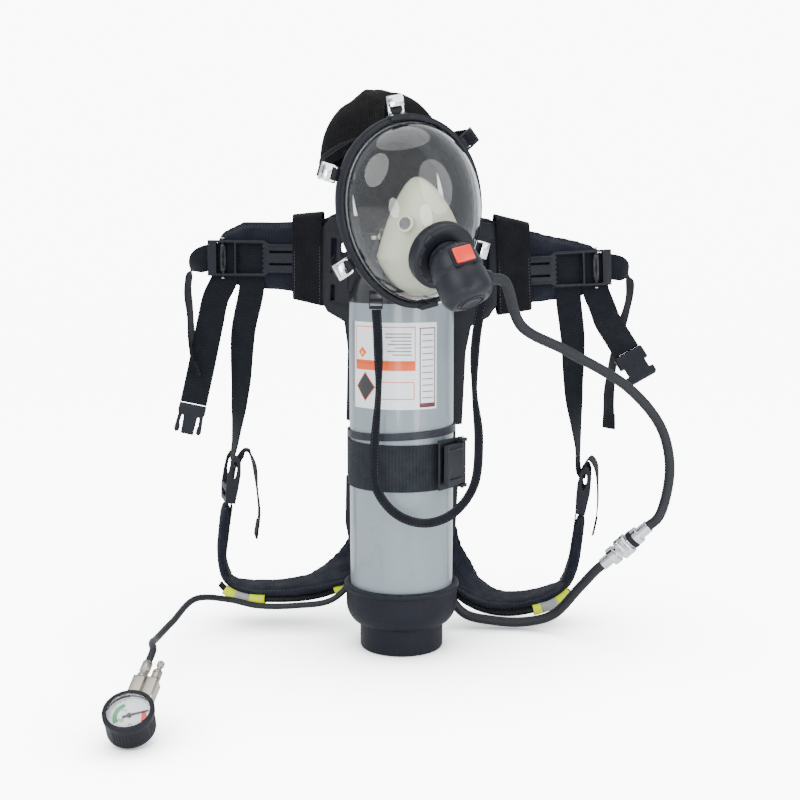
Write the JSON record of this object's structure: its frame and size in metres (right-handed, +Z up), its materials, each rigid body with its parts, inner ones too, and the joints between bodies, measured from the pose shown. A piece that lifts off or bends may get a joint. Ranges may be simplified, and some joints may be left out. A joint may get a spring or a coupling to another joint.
{
  "type": "self-contained breathing apparatus",
  "caption": "Upright air cylinder in a rubber boot, strapped to a backplate with waist and shoulder harness, carrying hoses, pressure gauge, demand valve and full face mask.",
  "frame": {"origin": "centre of the cylinder boot's foot, on the floor", "axes": "+Z up along the cylinder axis towards the valve, -Y towards the front with the mask and the gauge, +X to the right seen from the front"},
  "size_m": [0.6976, 0.5144, 0.7489],
  "materials": {
    "cylinder_paint": "semi-gloss grey paint, black and white shoulder quarters",
    "rubber": "matt black moulded rubber",
    "plate_plastic": "fine-grained black moulding",
    "webbing": "woven black webbing",
    "padding": "dark woven cover over foam",
    "elastic": "brownish black elastic fabric",
    "chrome": "polished plating",
    "nickel": "dull nickel-plated brass",
    "steel": "bright steel",
    "hose": "smooth black hose",
    "red": "orange-red moulding",
    "cream": "cream silicone",
    "clear": "clear polycarbonate",
    "dial_white": "printed white dial",
    "net": "black elastic mesh",
    "needle_black": "black pointer"
  },
  "bodies": {
    "harness": {"backplate": "plate_plastic", "belt_adjuster_left": "plate_plastic", "belt_adjuster_right": "plate_plastic", "belt_wrap_left": "elastic", "belt_wrap_right": "elastic", "breathing_hose_lower": "hose", "breathing_hose_upper": "hose", "cam_buckle_base": "plate_plastic", "cam_pin": "steel", "check_valve": "rubber", "coupling_plug": "chrome", "coupling_socket": "chrome", "cylinder": "cylinder_paint", "cylinder_band": "webbing", "cylinder_boot": "rubber", "cylinder_valve": "nickel", "demand_valve": "rubber", "face_seal": "rubber", "gauge_cover": "rubber", "gauge_dial": "dial_white", "gauge_hose": "hose", "gauge_hose_fitting": "nickel", "gauge_lens": "clear", "gauge_manifold": "nickel", "head_net": "net", "mask_buckle_chin_left": "chrome", "mask_buckle_chin_right": "chrome", "mask_buckle_temple_left": "chrome", "mask_buckle_temple_right": "chrome", "mask_buckle_top": "chrome", "mask_rim": "rubber", "mask_visor": "clear", "neck_strap": "webbing", "neck_strap_lock": "plate_plastic", "nose_cup": "cream", "pressure_reducer": "nickel", "rubber_band": "elastic", "shoulder_adjuster_left": "plate_plastic", "shoulder_adjuster_right": "plate_plastic", "shoulder_pad_left": "padding", "shoulder_pad_right": "padding", "shoulder_webbing_left": "webbing", "shoulder_webbing_right": "webbing", "side_release_female": "plate_plastic", "side_release_male": "plate_plastic", "speech_housing": "rubber", "waist_pad_left": "padding", "waist_pad_right": "padding", "waist_webbing_left": "webbing", "waist_webbing_right": "webbing", "whistle": "nickel"},
    "valve_wheel": {"valve_handwheel": "rubber"},
    "reducer_wheel": {"reducer_handwheel": "rubber"},
    "cam": {"cam_lever": "plate_plastic"},
    "release": {"release_button": "red"},
    "purge": {"purge_button": "rubber"},
    "sleeve": {"coupling_sleeve": "chrome"},
    "needle": {"gauge_needle": "needle_black"},
    "roller_left": {"adjuster_roller_left": "steel"},
    "roller_right": {"adjuster_roller_right": "steel"}
  },
  "joints": [
    {"name": "valve_handwheel_turn", "type": "hinge", "parent": "harness", "child": "valve_wheel", "pos_m": [-0.03, 0, 0.58], "axis": [-1, 0, 0], "range_deg": [0, 720]},
    {"name": "reducer_handwheel_turn", "type": "hinge", "parent": "harness", "child": "reducer_wheel", "pos_m": [0, 0.03, 0.58], "axis": [0, 1, 0], "range_deg": [0, 360]},
    {"name": "cam_lever_open", "type": "hinge", "parent": "harness", "child": "cam", "pos_m": [0.08044, -0.04127, 0.262], "axis": [0, 0, 1], "range_deg": [0, 100]},
    {"name": "release_button_press", "type": "slide", "parent": "harness", "child": "release", "axis": [-0.2585, 0.852, -0.4553], "range_m": [0, 0.0025], "stiffness_N_per_m": 400, "springref_m": -0.002},
    {"name": "purge_button_press", "type": "slide", "parent": "harness", "child": "purge", "axis": [-0.3684, 0.3488, 0.8618], "range_m": [0, 0.0023], "stiffness_N_per_m": 400, "springref_m": -0.002},
    {"name": "coupling_sleeve_pull", "type": "slide", "parent": "harness", "child": "sleeve", "axis": [-0.6788, 0.2361, -0.6953], "range_m": [0, 0.0045], "stiffness_N_per_m": 800, "springref_m": -0.003},
    {"name": "gauge_needle_sweep", "type": "hinge", "parent": "harness", "child": "needle", "pos_m": [-0.3, -0.34749, 0.03598], "axis": [0, -0.4633, 0.8862], "range_deg": [-270, 0], "stiffness_Nm_per_rad": 0.002},
    {"name": "adjuster_roller_left_turn", "type": "hinge", "parent": "harness", "child": "roller_left", "pos_m": [-0.24988, 0.0909, 0.52824], "axis": [0.0087, -0.0008, 1], "continuous": true},
    {"name": "adjuster_roller_right_turn", "type": "hinge", "parent": "harness", "child": "roller_right", "pos_m": [0.27275, 0.0909, 0.51471], "axis": [-0.0434, -0.0038, 0.999], "continuous": true}
  ]
}
